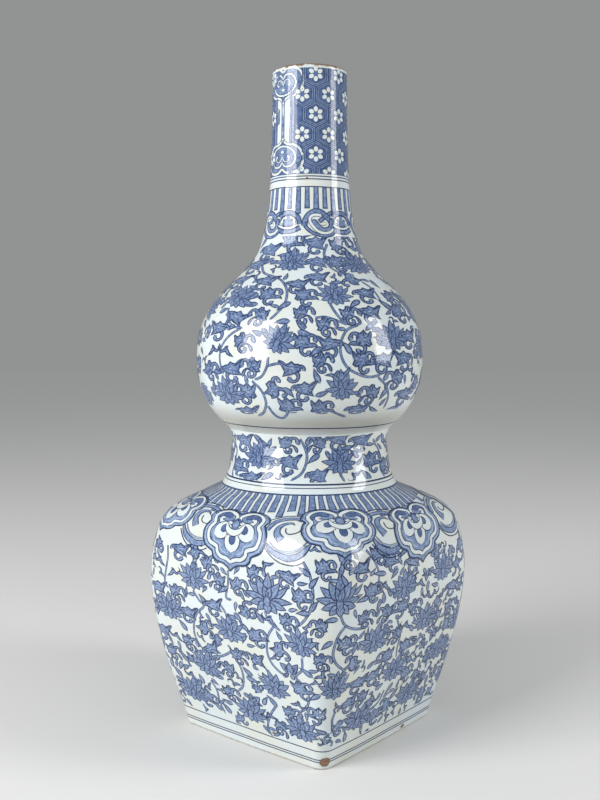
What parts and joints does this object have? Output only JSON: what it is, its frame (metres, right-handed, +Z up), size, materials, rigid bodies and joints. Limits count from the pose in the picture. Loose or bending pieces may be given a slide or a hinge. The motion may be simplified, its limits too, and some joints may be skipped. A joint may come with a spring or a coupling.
{
  "type": "double gourd vase",
  "caption": "Tall hollow porcelain vase: a square lower bulb rounding into a narrow waist, a round upper bulb and a long tubular neck, painted with scrolling lotus.",
  "frame": {"origin": "centre of the standing foot, on the surface that it stands on", "axes": "+Z up along the vase's axis towards the mouth, X and Y square to the lower bulb's faces, -Y out of the front wall and +X out of the right wall"},
  "size_m": [0.206, 0.206, 0.52],
  "materials": {
    "glazed_porcelain": "glossy clear glaze over cobalt-blue painting",
    "foot_porcelain": "glazed on the outside, bare fired clay on the standing edge"
  },
  "bodies": {
    "root": {"base_slab": "glazed_porcelain", "wall_front": "glazed_porcelain", "wall_right": "glazed_porcelain", "wall_back": "glazed_porcelain", "wall_left": "glazed_porcelain", "shoulder": "glazed_porcelain", "waist_collar": "glazed_porcelain", "bulb_bottom": "glazed_porcelain", "bulb_top": "glazed_porcelain", "neck": "glazed_porcelain", "foot_rim": "foot_porcelain"}
  },
  "joints": []
}
